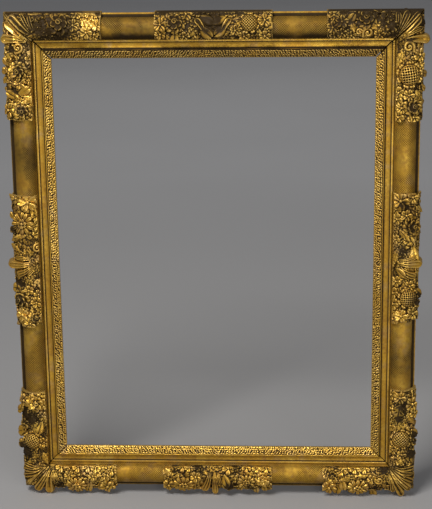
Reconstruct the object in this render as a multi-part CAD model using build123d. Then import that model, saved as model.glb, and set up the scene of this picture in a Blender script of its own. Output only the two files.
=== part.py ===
from build123d import *
import os
from math import cos, pi, radians, sin, sqrt, tan

# An upright gilded picture frame in millimetres: front face towards -Y, +Z up,
# standing on the carving of its bottom rail at Z zero.

# The opening as seen from the front
sight_width = 636.0
sight_height = 814.0

# Width of a rail, from the sight line outwards
slip_width = 18.0
band_width = 14.0
fillet_width = 4.5
torus_width = 44.0
edge_width = 7.5
rail_width = slip_width + band_width + fillet_width + torus_width + edge_width

# Heights of the section above the flat back face
rebate_depth = 12.0
band_height = 17.0
band_hollow = 1.6
fillet_rise = 2.0
torus_foot = 17.0
torus_rise = 20.5
edge_height = 15.0
edge_thickness = 8.0
side_undercut = 4.0

# The picture rebate and the sight moulding that covers it
rebate_width = 9.0
slip_lip = 6.0
slip_rise = 12.0
slip_fillet = 3.0
slip_belly = 1.4

# Running and glue clearances
mitre_gap = 0.3
glue_gap = 0.15
fit_gap = 0.1
overrun = 6.0

# Wooden keys let into the back across each mitre
key_length = 58.0
key_width = 22.0
key_waist = 13.0
key_depth = 7.0

# Carved ornament: how far it stands proud and how long each run is
ground_thickness = 3.6
ground_facets = 4
ground_span = 47.0
seat_facets = 9
seat_span = 90.0
flank_thickness = 3.2
flank_foot = 5.0
carving_reach = 17.0
corner_run_across = 186.0
corner_run_upright = 216.0
centre_run_across = 226.0
centre_run_upright = 270.0
carving_seam = 0.3

# Leaf lobes of the corner leaves and centre palmettes, fanned in degrees
lobe_root_width = 8.0
lobe_tip_width = 26.0
lobe_relief = 9.5
lobe_flute = 3.4
lobe_tip_depth = 24.0
palmette_root_step = 3.0
palmette_fan = 21.0
corner_lobes = 3
corner_root_step = 5.0
corner_fan = 22.0
corner_fan_start = 13.0

# Roses, seed heads, small blooms and side leaves
rose_radius = 20.0
rose_height = 15.0
rose_petals = 5
rose_cup_petals = 3
rose_petal_swell = 4.5
heart_sides = 4
pod_radius = 17.0
pod_height = 17.0
pod_sides = 8
bloom_radius = 10.5
bloom_height = 7.5
bloom_petals = 5
bloom_petal_swell = 3.2
leaf_length = 38.0
leaf_width = 15.0
leaf_relief = 6.0
leaf_fold = 2.4

# Strap hangers with D rings on the back of the upright rails
strap_thickness = 1.4
strap_width = 12.0
strap_end_chamfer = 3.5
strap_nail_inset = 23.0
strap_nail_pitch = 13.0
strap_end_margin = 6.0
ring_wire = 3.2
ring_wire_facets = 8
ring_bow_facets = 12
ring_radius = 13.0
ring_corner = 3.5
ring_play = 0.08
ring_standoff = 0.35
hanger_height_share = 0.72

# Turn buttons that hold the picture in
button_length = 26.0
button_width = 11.0
button_thickness = 1.8
button_end_chamfer = 3.2
button_pivot_inset = 8.0
button_spread_share = 0.3
pivot_play = 0.06
pivot_slack = 0.1

# Forged nails of both fittings: square shanks and faceted heads
nail_shank = 2.6
nail_length = 12.0
nail_head = 6.4
nail_head_height = 1.6
nail_head_rim = 0.6

# Heights and places worked out from the sizes above
half = 0.5
torus_start = slip_width + band_width + fillet_width
torus_centre_u = torus_start + torus_width * half
torus_radius = ((torus_width * half) ** 2 + torus_rise**2) / (2 * torus_rise)
torus_centre_d = torus_foot + torus_rise - torus_radius
centre_z = sight_height * half + rail_width + carving_reach
front_reach = torus_foot + torus_rise + lobe_relief + rose_radius
barrel_radius = ring_wire * half + ring_play + strap_thickness
barrel_d = barrel_radius + ring_standoff

# Each rail is made as the top one and turned about Y: angle, half the inner run, half the opening
SIDES = {
    "top": (0.0, sight_width * half, sight_height * half),
    "right": (90.0, sight_height * half, sight_width * half),
    "bottom": (180.0, sight_width * half, sight_height * half),
    "left": (270.0, sight_height * half, sight_width * half),
}
UPRIGHT = ("left", "right")


def at(along, out, height):
    """A point of the rail being made: along it, out from the sight line, above the back."""
    return Vector(along, -height, out)


def place(shape, side):
    """Turns a shape made on the top rail to its own side of the frame."""
    angle, run, opening = SIDES[side]
    return Pos(0, 0, centre_z) * Rot(0, angle, 0) * Pos(0, 0, opening) * shape


def section_plane(along=0.0):
    """Plane across the rail, whose own axes run out from the sight line and above the back."""
    return Plane(origin=at(along, 0, 0), x_dir=(0, 0, 1), z_dir=(1, 0, 0))


def mitre_prism(run, gap, far):
    """The space that the mitres leave to one rail, out to a given width."""
    near = -overrun
    slack = gap * half * sqrt(2)
    corners = [
        (-(run + near - slack), near),
        (run + near - slack, near),
        (run + far - slack, far),
        (-(run + far - slack), far),
    ]
    face = make_face(Polyline(*[at(s, u, -2 * front_reach) for s, u in corners], close=True))
    return extrude(face, amount=4 * front_reach, dir=(0, -1, 0))


def front_edges():
    """The rail's front line, from the seat of the sight moulding to the outer edge."""
    band_end = slip_width + band_width
    hollow = (slip_width + band_width * half, band_height - band_hollow)
    torus_end = torus_start + torus_width
    crest = (torus_centre_u, torus_foot + torus_rise)
    return [
        Polyline((rebate_width, rebate_depth), (slip_width, rebate_depth), (slip_width, band_height)),
        ThreePointArc((slip_width, band_height), hollow, (band_end, band_height)),
        Polyline(
            (band_end, band_height),
            (band_end, band_height + fillet_rise),
            (torus_start, band_height + fillet_rise),
            (torus_start, torus_foot),
        ),
        ThreePointArc((torus_start, torus_foot), crest, (torus_end, torus_foot)),
        Polyline((torus_end, torus_foot), (torus_end, edge_height), (rail_width, edge_height)),
    ]


def rail_section():
    """The whole section of a rail as a flat face."""
    rest = Polyline(
        (rail_width, edge_height),
        (rail_width, edge_height - edge_thickness),
        (rail_width - side_undercut, 0),
        (rebate_width, 0),
        (rebate_width, rebate_depth),
    )
    return make_face(Curve() + front_edges() + [rest])


def slip_section():
    """The sight moulding: a lip over the rebate, a swelling leaf face and a square fillet."""
    crest_u = slip_width - slip_fillet
    top = rebate_depth + slip_rise
    lip = rebate_depth + slip_lip
    belly = (crest_u * half - slip_belly * half, (lip + top) * half + slip_belly)
    wall = slip_width - fit_gap
    ledge = rebate_depth + fit_gap
    seat = rebate_width - fit_gap
    back = [(wall, top), (wall, ledge), (seat, ledge), (seat, rebate_depth), (0, rebate_depth)]
    return make_face(
        Curve()
        + [
            Line((0, rebate_depth), (0, lip)),
            ThreePointArc((0, lip), belly, (crest_u, top)),
            Polyline((crest_u, top), *back),
        ]
    )


def run_of(section, side, gap):
    """A section run the length of one side and mitred at both ends."""
    run = SIDES[side][1]
    length = run + rail_width + overrun
    solid = extrude(section_plane() * section, amount=length, both=True)
    return solid & mitre_prism(run, gap, rail_width + overrun)


def key_outline(grow):
    """The bow-tie outline of a mitre key, across the mitre, grown by a clearance."""
    end_x, end_y = key_length * half + grow, key_width * half + grow
    waist = key_waist * half + grow
    return make_face(
        Polyline(
            (-end_x, -end_y),
            (0, -waist),
            (end_x, -end_y),
            (end_x, end_y),
            (0, waist),
            (-end_x, end_y),
            close=True,
        )
    )


def key_plane(x_sign, z_sign):
    """The back face at one corner, turned so that the key lies square across the mitre."""
    middle = (rebate_width + rail_width - side_undercut) * half
    x = x_sign * (sight_width * half + middle)
    z = centre_z + z_sign * (sight_height * half + middle)
    return Plane(origin=(x, 0, z), x_dir=(x_sign, 0, -z_sign), z_dir=(0, 1, 0))


def mitre_key(x_sign, z_sign):
    """A key let in flush with the back, across one mitre."""
    return extrude(key_plane(x_sign, z_sign) * key_outline(0), amount=-(key_depth - fit_gap))


def key_pocket(x_sign, z_sign):
    """The room that one key needs in the two rails that it joins."""
    return extrude(key_plane(x_sign, z_sign) * key_outline(fit_gap), amount=-key_depth)


def on_torus(along, lean):
    """Plane touching the torus: lean is 0 degrees at its crest and 90 at its outer side."""
    turn = radians(lean)
    out = torus_centre_u + torus_radius * sin(turn)
    height = torus_centre_d + torus_radius * cos(turn)
    return Plane(origin=at(along, out, height), x_dir=(1, 0, 0), z_dir=(0, -cos(turn), sin(turn)))


def torus_height(out):
    """Height of the torus above the back at a distance from the sight line."""
    from_centre = min(abs(out - torus_centre_u), torus_width * half)
    return torus_centre_d + sqrt(torus_radius**2 - from_centre**2)


def torus_line(radius, facet_count, span):
    """Points of a faceted line round the torus, to the same lean on its inner and outer side."""
    leans = [radians(span * (2 * i / facet_count - 1)) for i in range(facet_count + 1)]
    return [(torus_centre_u + radius * sin(lean), torus_centre_d + radius * cos(lean)) for lean in leans]


def carving_ground():
    """Section of the thin ground that carries the carving over the torus and down the side."""
    outer = rail_width + flank_thickness
    crown = torus_line(torus_radius + ground_thickness, ground_facets, ground_span)
    side = [(outer, torus_foot + ground_thickness), (outer, flank_foot), (torus_centre_u, flank_foot)]
    under = [(torus_centre_u, torus_foot), (crown[0][0], torus_foot)]
    return make_face(Polyline(*crown, *side, *under, close=True))


def rail_room(length):
    """The space of the rail under the carving and its glue line, to cut the carving's seat."""
    flat_radius = (torus_radius + glue_gap) / cos(radians(seat_span / seat_facets))
    seat = torus_line(flat_radius, seat_facets, seat_span)
    ledge = edge_height + glue_gap
    edge = rail_width + glue_gap
    side = [(seat[-1][0], ledge), (edge, ledge), (edge, 0), (0, 0), (0, torus_centre_d)]
    return extrude(section_plane() * make_face(Polyline(*seat, *side, close=True)), amount=length, both=True)


def facets(rings):
    """A closed solid of flat facets through rings of equally many points."""
    faces = [make_face(Polyline(*ring, close=True)) for ring in (rings[0], rings[-1])]
    for low, high in zip(rings, rings[1:]):
        for i, start in enumerate(low):
            end, far_end, far_start = low[i - 1], high[i - 1], high[i]
            faces.append(make_face(Polyline(start, end, far_end, close=True)))
            faces.append(make_face(Polyline(start, far_end, far_start, close=True)))
    return Solid(Shell(faces)).fix().clean()


def petal_points(radius, height, petals, swell, shoulder_shares):
    """A flower's outline at a height: each petal has a notch beside it and one or two shoulders."""
    points = []
    for i in range(petals):
        for share in (0.0, *shoulder_shares):
            turn = 2 * pi * (i + share) / petals
            reach = radius if share else radius - swell
            points.append((reach * cos(turn), reach * sin(turn), height))
    return points


def petal_bowl(low, high, petals, swell, shoulder_shares):
    """Petals that open from one radius and height to another: low and high are such pairs."""
    narrow = swell * low[0] / high[0]
    foot = petal_points(*low, petals, narrow, shoulder_shares)
    return facets([foot, petal_points(*high, petals, swell, shoulder_shares)])


def dome(rings, sides):
    """A faceted dome through pairs of radius and height."""
    return facets([petal_points(radius, height, sides, 0, ()) for radius, height in rings])


def sized(shares, radius, height):
    """Turns pairs of shares into pairs of radius and height."""
    return [(across * radius, up * height) for across, up in shares]


# Flower profiles as shares of the flower's radius and height
round_shoulder_shares = (0.28, 0.72)
pointed_shoulder_shares = (0.5,)
rose_outer_shares = ((0.5, -0.3), (1.0, 0.42))
rose_inner_shares = ((0.72, 0.3), (0.6, 0.76))
rose_heart_shares = ((0.36, 0.6), (0.2, 1.0))
bloom_outer_shares = ((0.5, -0.4), (1.0, 0.66))
bloom_heart_shares = ((0.4, 0.3), (0.2, 1.0))
pod_collar_shares = ((0.55, -0.3), (1.0, 0.34))
pod_dome_shares = ((0.82, 0.2), (0.76, 0.64), (0.36, 1.0))


def rose():
    """A full rose: a bowl of open petals, a tighter bowl inside it and a heart."""
    petals = (rose_petal_swell, round_shoulder_shares)
    open_petals = petal_bowl(*sized(rose_outer_shares, rose_radius, rose_height), rose_petals, *petals)
    cup = petal_bowl(*sized(rose_inner_shares, rose_radius, rose_height), rose_cup_petals, *petals)
    heart = dome(sized(rose_heart_shares, rose_radius, rose_height), heart_sides)
    return open_petals + cup + heart


def bloom():
    """A small flat flower with a raised heart."""
    opening = sized(bloom_outer_shares, bloom_radius, bloom_height)
    petals = petal_bowl(*opening, bloom_petals, bloom_petal_swell, pointed_shoulder_shares)
    return petals + dome(sized(bloom_heart_shares, bloom_radius, bloom_height), heart_sides)


def pod():
    """A domed seed head in a flaring collar."""
    collar = dome(sized(pod_collar_shares, pod_radius, pod_height), pod_sides)
    return collar + dome(sized(pod_dome_shares, pod_radius, pod_height), pod_sides)


# Lobe and leaf sections: place across as a share of the half width, and drop in flute depths
ridge_section_shares = ((-1.0, 2.2), (-0.5, 0.0), (0.0, 1.0), (0.5, 0.0), (1.0, 2.2))
lobe_root_share = 0.16
lobe_crest_width_share = 0.6
lobe_end_width_share = 0.8
lobe_shoulder_share = 0.82
leaf_station_shares = ((0.0, 0.3, 0.55), (0.4, 1.0, 1.0), (1.0, 0.16, 0.45))


def ridge(width, top, bottom, flute):
    """Section of a lobe as pairs across and up: a round ridge, fluted along its middle."""
    pairs = [(across * width * half, top - drop * flute) for across, drop in ridge_section_shares]
    return [(pairs[0][0], bottom)] + pairs + [(pairs[-1][0], bottom)]


def lobe(root_along, lean_out, size=1.0, reach=1.0):
    """A fluted lobe that rises from the torus foot, crosses the crest and curls over the edge."""
    turn = radians(lean_out)
    root = torus_start + torus_width * lobe_root_share
    shoulder = torus_centre_u + torus_radius * lobe_shoulder_share
    tip = root + (rail_width + carving_reach + overrun * half - root) * reach
    width = lobe_tip_width * size
    stations = [
        (root, lobe_root_width * size, torus_height(root) + lobe_flute, torus_foot - lobe_flute),
        (torus_centre_u, width * lobe_crest_width_share, torus_foot + torus_rise + lobe_relief, torus_foot),
        (shoulder, width, torus_height(shoulder) + lobe_relief, flank_foot),
        (tip, width * lobe_end_width_share, flank_foot + lobe_tip_depth, flank_foot),
    ]
    rings = []
    for out, wide, top, bottom in stations:
        along = root_along + (out - root) * tan(turn)
        section = ridge(wide, top, bottom, lobe_flute * wide / width)
        rings.append([at(along + x * cos(turn), out - x * sin(turn), y) for x, y in section])
    return facets(rings)


def leaf():
    """A folded side leaf that lies along the local X axis."""
    rings = []
    for along, wide, tall in leaf_station_shares:
        top = leaf_relief * tall + ground_thickness
        section = ridge(leaf_width * wide, top, -leaf_relief, leaf_fold)
        rings.append([(along * leaf_length, x, y) for x, y in section])
    return facets(rings)


# Where the flowers and leaves lie: kind, share of the run, lean over the torus, size share, turn
corner_across_shares = (
    ("rose", 0.59, 30, 1.0, 0),
    ("rose", 0.88, 10, 0.75, 20),
    ("bloom", 0.6, -38, 1.0, 30),
    ("bloom", 0.75, -36, 1.0, 15),
    ("leaf", 0.68, -6, 0.7, 168),
)
corner_upright_shares = (
    ("pod", 0.54, 26, 1.0, 0),
    ("rose", 0.88, 6, 0.9, 15),
    ("bloom", 0.57, -38, 1.0, 40),
    ("bloom", 0.72, -36, 1.0, 10),
    ("leaf", 0.64, 0, 0.85, 170),
)
centre_across_shares = (
    ("rose", 0.24, 35, 1.0, 0),
    ("rose", 0.77, 36, 0.92, 22),
    ("bloom", 0.07, 8, 1.0, 0),
    ("bloom", 0.27, -38, 1.0, 10),
    ("bloom", 0.73, -38, 1.0, 25),
    ("bloom", 0.93, 6, 1.0, 30),
)
centre_upright_shares = (
    ("rose", 0.2, 34, 1.0, 0),
    ("pod", 0.78, 42, 1.0, 0),
    ("bloom", 0.06, 0, 1.0, 0),
    ("bloom", 0.25, -38, 1.0, 10),
    ("bloom", 0.74, -38, 1.0, 25),
    ("bloom", 0.94, 4, 1.0, 30),
)


def motifs(shares, start, run):
    """The flowers and leaves of one ornament, from where its run starts."""
    made = {"rose": rose(), "bloom": bloom(), "pod": pod(), "leaf": leaf()}
    placed = []
    for kind, share, lean, size, turn in shares:
        seat = on_torus(start + run * share, lean).location
        placed.append(seat * Rot(0, 0, turn) * scale(made[kind], by=size))
    return placed


def carve(pieces, low, high):
    """Joins an ornament on its ground, seats it on the rail and trims it square at its ends."""
    ground = extrude(section_plane(low) * carving_ground(), amount=high - low)
    reach = rail_width + carving_reach
    room = Pos((low + high) * half, 0, 0) * Box(high - low, 4 * front_reach, 2 * reach)
    joined = ground.fuse(*pieces)
    return (joined & room) - rail_room(max(abs(low), abs(high)) + overrun)


# How the outer lobes of a palmette and a corner leaf shrink, and how far the corner leaves reach
palmette_size_step_share = 0.1
palmette_reach_step_share = 0.2
stub_size_share = 0.7
stub_reach_share = 0.55
corner_size_step_share = 0.06
corner_reach_shares = {"top": 0.68, "right": 0.85, "bottom": 1.0, "left": 0.85}


def palmette(broken):
    """Five lobes fanned from one root; a broken one keeps its outer lobes and a stub."""
    lobes = []
    for step in (-2, -1, 0, 1, 2):
        size = 1.0 - abs(step) * palmette_size_step_share
        reach = 1.0 - abs(step) * palmette_reach_step_share
        if not broken or abs(step) > 1:
            lobes.append(lobe(step * palmette_root_step, step * palmette_fan, size, reach))
    if broken:
        lobes.append(lobe(0, 0, stub_size_share, stub_reach_share))
    return lobes


def centre_ornament(side):
    """A palmette between two bunches of flowers."""
    run = centre_run_upright if side in UPRIGHT else centre_run_across
    shares = centre_upright_shares if side in UPRIGHT else centre_across_shares
    pieces = motifs(shares, -run * half, run) + palmette(broken=side == "top")
    return place(carve(pieces, -run * half, run * half), side)


def corner_ornament(side, toward):
    """Half of a corner leaf with its flowers, at the end of a rail that toward names, 1 or -1."""
    run = corner_run_upright if side in UPRIGHT else corner_run_across
    shares = corner_upright_shares if side in UPRIGHT else corner_across_shares
    inner_run = SIDES[side][1]
    corner = inner_run + rail_width
    pieces = motifs([(kind, 1 - share, *rest) for kind, share, *rest in shares], corner - run, run)
    for step in range(corner_lobes):
        root = inner_run + torus_start - step * corner_root_step
        lean = corner_fan_start + corner_fan * (1 - step)
        size = 1.0 - step * corner_size_step_share
        pieces.append(lobe(root, lean, size, corner_reach_shares[side]))
    half_leaf = carve(pieces, corner - run, corner + carving_reach)
    half_leaf &= mitre_prism(inner_run, carving_seam, rail_width + carving_reach + overrun)
    return place(half_leaf if toward > 0 else mirror(half_leaf, about=Plane.YZ), side)


def back_seat(side, along, out, x_sign=1):
    """A place on the back of a rail: its local X runs along the rail and its local Z points away."""
    plane = Plane(origin=at(along, out, 0), x_dir=(x_sign, 0, 0), z_dir=(0, 1, 0))
    return place(plane.location, side)


def button_seats():
    """The pivots of the turn buttons by name, each button pointing down or along its rail."""
    out = rebate_width + button_pivot_inset
    spread = button_spread_share * sight_height
    seats = {}
    for side, heights in (("left", ("lower", "upper")), ("right", ("upper", "lower"))):
        for along, height in zip((-spread, spread), heights):
            seats[f"{side}_{height}"] = back_seat(side, along, out, 1 if side == "right" else -1)
    seats["top"] = back_seat("top", 0, out)
    seats["bottom"] = back_seat("bottom", 0, out)
    return seats


def nail_clearance():
    """Radius of a round hole that a square nail shank turns in."""
    return nail_shank * half * sqrt(2) + pivot_play


def turn_button():
    """A long plate with clipped ends that turns on a nail near one end."""
    reach = (button_length - button_width) * half
    outline = chamfer(Rectangle(button_length, button_width).vertices(), button_end_chamfer)
    plate = Pos(reach, 0, pivot_slack) * extrude(outline, amount=button_thickness)
    return plate - Cylinder(nail_clearance(), 4 * nail_length)


def square_ring(width, height):
    """The corners of a square at a height."""
    side = width * half
    return [(side, side, height), (-side, side, height), (-side, -side, height), (side, -side, height)]


def nail(stand):
    """A forged nail in the back of a rail whose head sits at a given height above it."""
    rim = stand + nail_head_rim
    head = facets(
        [
            square_ring(nail_head, stand),
            square_ring(nail_head, rim),
            square_ring(nail_shank, stand + nail_head_height),
        ]
    )
    return head + facets([square_ring(nail_shank, stand - nail_length), square_ring(nail_shank, rim)])


def nail_hole(stand):
    """The hole of a nail in the rail, as deep as the nail reaches."""
    width = nail_shank + 2 * fit_gap
    return facets([square_ring(width, stand - nail_length - fit_gap), square_ring(width, overrun)])


def hanger_axis(side):
    """The middle of a hanger's ring pin; local X runs across the frame and local Y points down."""
    middle = (rebate_width + rail_width - side_undercut) * half
    x = (sight_width * half + middle) * (1 if side == "right" else -1)
    height = 2 * centre_z * hanger_height_share
    return Plane(origin=(x, 0, height), x_dir=(1, 0, 0), z_dir=(0, 1, 0)).location


def strap_nail_spots():
    """The nails of one strap, down from its ring pin."""
    return [Pos(0, strap_nail_inset + i * strap_nail_pitch, 0) for i in (0, 1)]


def hanger_strap():
    """A strap folded round the ring's pin and nailed flat to the rail below it."""
    length = strap_nail_inset + strap_nail_pitch + strap_end_margin
    outline = Pos(0, length * half) * Rectangle(strap_width, length)
    outline = chamfer(outline.vertices().group_by(Axis.Y)[-1], strap_end_chamfer)
    plate = extrude(outline, amount=strap_thickness)
    pin = Pos(0, 0, barrel_d) * Rot(0, 90, 0)
    strap = plate + pin * Cylinder(barrel_radius, strap_width)
    strap -= pin * Cylinder(ring_wire * half + ring_play, 2 * strap_width)
    for spot in strap_nail_spots():
        strap -= spot * nail_hole(nail_length * half)
    return strap


def hanger_ring():
    """A D ring of bent wire, hanging from its straight pin."""
    bar = ring_radius - ring_corner
    bow = []
    for i in range(ring_bow_facets + 1):
        turn = pi * i / ring_bow_facets
        bow.append((ring_radius * cos(turn), ring_corner + ring_radius * sin(turn)))
    path = Polyline((0, 0), (bar, 0), *bow, (-bar, 0), close=True)
    across = Plane(origin=(0, 0, 0), x_dir=(0, 1, 0), z_dir=(1, 0, 0))
    section = across * RegularPolygon(ring_wire * half, ring_wire_facets)
    return Pos(0, 0, barrel_d) * sweep(section, path=path, transition=Transition.RIGHT)


def nails_and_holes():
    """The nails of both fittings and the holes that they need in the rails."""
    button_stand = button_thickness + 2 * pivot_slack
    spots = {
        "button_nails": (button_stand, list(button_seats().values())),
        "hanger_nails": (
            strap_thickness,
            [hanger_axis(side) * spot for side in UPRIGHT for spot in strap_nail_spots()],
        ),
    }
    nails, holes = {}, []
    for node, (stand, places) in spots.items():
        nails[node] = Compound([spot * nail(stand) for spot in places])
        holes += [spot * nail_hole(stand) for spot in places]
    return nails, holes


CORNERS = {
    "top_left": (-1, 1),
    "top_right": (1, 1),
    "bottom_left": (-1, -1),
    "bottom_right": (1, -1),
}


def wooden_parts(holes):
    """The four rails with their sight mouldings, the keys across the mitres and the carving."""
    nodes = {}
    pockets = [key_pocket(*signs) for signs in CORNERS.values()]
    for side in SIDES:
        rail = place(run_of(rail_section(), side, mitre_gap), side)
        nodes[f"rail_{side}"] = rail - pockets - holes
        nodes[f"sight_edge_{side}"] = place(run_of(slip_section(), side, mitre_gap), side)
        nodes[f"centre_carving_{side}"] = centre_ornament(side)
    for corner, signs in CORNERS.items():
        nodes[f"mitre_key_{corner}"] = mitre_key(*signs)
        across, upright = corner.split("_")
        x_sign, z_sign = signs
        across_toward = x_sign * (1 if across == "top" else -1)
        upright_toward = -z_sign * (1 if upright == "right" else -1)
        nodes[f"corner_carving_{corner}_across"] = corner_ornament(across, across_toward)
        nodes[f"corner_carving_{corner}_upright"] = corner_ornament(upright, upright_toward)
    return nodes


def fittings():
    """The hangers and the turn buttons."""
    nodes = {}
    for side in UPRIGHT:
        nodes[f"hanger_strap_{side}"] = hanger_axis(side) * hanger_strap()
        nodes[f"hanger_ring_{side}"] = hanger_axis(side) * hanger_ring()
    for name, seat in button_seats().items():
        nodes[f"turn_button_{name}"] = seat * turn_button()
    return nodes


def depth_shift(nodes):
    """How far the whole frame moves along Y to stand centred over its origin."""
    boxes = [shape.bounding_box() for shape in nodes.values()]
    return -(min(box.min.Y for box in boxes) + max(box.max.Y for box in boxes)) * half


def main():
    os.makedirs("parts", exist_ok=True)
    nails, holes = nails_and_holes()
    nodes = wooden_parts(holes) | fittings() | nails
    shift = Pos(0, depth_shift(nodes), 0)
    for node, shape in nodes.items():
        export_step(shift * shape, f"parts/{node}.step")


main()
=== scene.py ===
import math
from functools import partial

import bmesh
import bpy
import numpy as np
from mathutils import Matrix, Vector


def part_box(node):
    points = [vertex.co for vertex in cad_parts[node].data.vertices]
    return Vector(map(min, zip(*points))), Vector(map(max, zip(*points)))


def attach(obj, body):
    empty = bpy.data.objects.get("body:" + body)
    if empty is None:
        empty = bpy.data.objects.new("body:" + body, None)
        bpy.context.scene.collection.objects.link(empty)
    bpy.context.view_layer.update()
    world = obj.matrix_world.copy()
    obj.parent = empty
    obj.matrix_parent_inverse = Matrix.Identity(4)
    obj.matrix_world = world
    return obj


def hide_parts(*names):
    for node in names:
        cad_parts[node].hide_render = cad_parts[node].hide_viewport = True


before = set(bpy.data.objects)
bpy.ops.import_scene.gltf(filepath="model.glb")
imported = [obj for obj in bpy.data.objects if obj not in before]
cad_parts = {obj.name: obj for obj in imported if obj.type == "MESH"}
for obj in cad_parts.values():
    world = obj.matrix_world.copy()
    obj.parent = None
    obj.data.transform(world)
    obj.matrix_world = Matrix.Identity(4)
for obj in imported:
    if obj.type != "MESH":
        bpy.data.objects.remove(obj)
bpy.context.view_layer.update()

# Sizes in millimetres, as in the CAD: s runs along a rail, u out from the sight line, d above the back
SIGHT_W, SIGHT_H = 636.0, 814.0
RAIL, SLIP, BAND, TORUS_START, TORUS_END = 88.0, 18.0, 32.0, 36.5, 80.5
REBATE_W, REBATE_D = 9.0, 12.0
BAND_D, FILLET_D, TORUS_FOOT, EDGE_D = 17.0, 19.0, 17.0, 15.0
TORUS_U, TORUS_R, TORUS_C = 58.5, 22.055, 15.445
GROUND, REACH, CENTRE_Z = 3.6, 17.0, 512.0
# The back plane is set in a little, so that the mitre keys show
BACK_D = 0.35
# A mitre's gap at the back, and how far it opens over the height of the section
MITRE_GAP, WIDE_CRACK, NARROW_CRACK, CRACK_DEPTH = 0.15, 2.3, 1.4, 40
# The sight edge's carved width, and how deep the ground between its leaves lies
LEAF_END, LEAF_SINK = 15.4, 0.9
BACK_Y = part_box("rail_top")[1].y * 1000
# Each rail: quarter turns from the top one, half its inner run and half the opening
SIDES = {
    "top": (0, SIGHT_W / 2, SIGHT_H / 2),
    "right": (1, SIGHT_H / 2, SIGHT_W / 2),
    "bottom": (2, SIGHT_W / 2, SIGHT_H / 2),
    "left": (3, SIGHT_H / 2, SIGHT_W / 2),
}
VOXEL = 0.72
rng = np.random.default_rng(41)


# Shells in rail coordinates
def to_world(p, side):
    """Rail coordinates in millimetres to the frame's own, in metres."""
    turns, _, opening = SIDES[side]
    c, n = math.cos(turns * math.pi / 2), math.sin(turns * math.pi / 2)
    out = p[:, 1] + opening
    return np.stack([p[:, 0] * c + out * n, BACK_Y - p[:, 2], out * c - p[:, 0] * n + CENTRE_Z], 1) / 1000


def grid_faces(i):
    """The four-sided faces between the rows of a grid of point numbers."""
    return np.stack([i[:-1, :-1], i[1:, :-1], i[1:, 1:], i[:-1, 1:]], -1).reshape(-1, 4)


def ring_numbers(rows, sides):
    """Point numbers of rings of points, each row closed on itself."""
    i = np.arange(rows * sides).reshape(rows, sides)
    return np.concatenate([i, i[:, :1]], 1)


def slab(top, bottom):
    """A closed shell between two grids of points."""
    n, m = top.shape[:2]
    i = np.arange(n * m).reshape(n, m)
    rim = np.concatenate([i[0, :], i[1:, -1], i[-1, -2::-1], i[-2:0:-1, 0]])
    after = np.roll(rim, -1)
    sides = np.stack([rim, after, after + n * m, rim + n * m], -1)
    verts = np.concatenate([top.reshape(-1, 3), bottom.reshape(-1, 3)])
    return verts, np.concatenate([grid_faces(i), grid_faces(i)[:, ::-1] + n * m, sides])


def tube(path, radii, sides=8):
    """A closed tube along points, with its ends drawn to a point."""
    path = np.asarray(path, float)
    ahead = np.gradient(path, axis=0)
    ahead /= np.linalg.norm(ahead, axis=1, keepdims=True) + 1e-9
    up = np.array([0.0, 0.0, 1.0])
    across = np.cross(ahead, up)
    across[np.linalg.norm(across, axis=1) < 0.1] = (1, 0, 0)
    across /= np.linalg.norm(across, axis=1, keepdims=True)
    over = np.cross(across, ahead)
    turn = np.linspace(0, 2 * np.pi, sides, endpoint=False)
    radii = np.asarray(radii, float) * np.ones(len(path))
    ring = across[:, None] * np.cos(turn)[None, :, None] + over[:, None] * np.sin(turn)[None, :, None]
    rings = path[:, None] + ring * radii[:, None, None]
    rings = np.concatenate([path[:1, None] + 0.01 * ring[:1], rings, path[-1:, None] + 0.01 * ring[-1:]])
    return rings.reshape(-1, 3), grid_faces(ring_numbers(len(rings), sides))


def bead(r, tall, z=0.0, x=0.0, y=0.0):
    """A closed bead of a radius and a half height, round a centre."""
    levels = -np.cos(np.linspace(0.12, np.pi - 0.12, 7))
    path = np.zeros((7, 3))
    path[:, 2] = levels
    verts, faces = tube(path, np.sqrt(1 - levels**2), 10)
    return verts * (r, r, tall) + (x, y, z), faces


def turned(shells, angle):
    c, s = math.cos(angle), math.sin(angle)
    m = np.array([[c, s, 0], [-s, c, 0], [0, 0, 1]])
    return [(v @ m, f) for v, f in shells]


def moved(shells, by):
    return [(v + by, f) for v, f in shells]


def scaled(shells, by):
    return [(v * by, f) for v, f in shells]


# Carved motifs, each on a local plane with z up
def unit(x):
    """A value held between 0 and 1."""
    return np.clip(x, 0, 1)


def bell(x, width):
    """A smooth bump of height 1 that fades over a width."""
    return np.exp(-((x / width) ** 2))


def grid(along, across, start=0.0):
    """Shares of a motif's length, up to 1, and of its half width, from -1 to 1."""
    return np.meshgrid(np.linspace(start, 1, along), np.linspace(-1, 1, across), indexing="ij")


def plate(x, y, top, bottom):
    """A closed shell between two heights over the same places."""
    return slab(np.stack([x, y, top], -1), np.stack([x, y, bottom], -1))


def petal(length, width, lift, dome, curl, tilt, thick):
    """A fleshy petal with a raised rim and a crease, turned down at its notched tip."""
    t, w = grid(12, 9)
    past = unit(t - 0.6) / 0.43
    belly = 0.35 + 0.65 * np.sin(np.pi / 2 * unit(t / 0.6))
    half = width / 2 * belly * np.sqrt(1 - past**2 * 0.98)
    reach = length * t * (1 - 0.1 * bell(w, 0.35) * t**4)
    rim = 0.55 * bell(np.abs(w) - 0.72, 0.2) * t
    crease = 0.8 * bell(w, 0.2) * t
    z = lift * t**1.2 - dome * w**4 - curl * past**2 + tilt * w + rim - crease
    return [plate(reach, w * half, z + thick / 2, z - thick / 2 - 0.8)]


def ring_of(count, start, shells, phase, rise):
    """Sets a petal round a centre, every other one higher and each a little out of line."""
    out = []
    for k in range(count):
        jig = rng.uniform(-0.09, 0.09)
        lift = rise + 0.9 * (k % 2) + rng.uniform(-0.3, 0.3)
        out += turned(moved(shells, (start, 0, lift)), 2 * np.pi * k / count + phase + jig)
    return out


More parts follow.
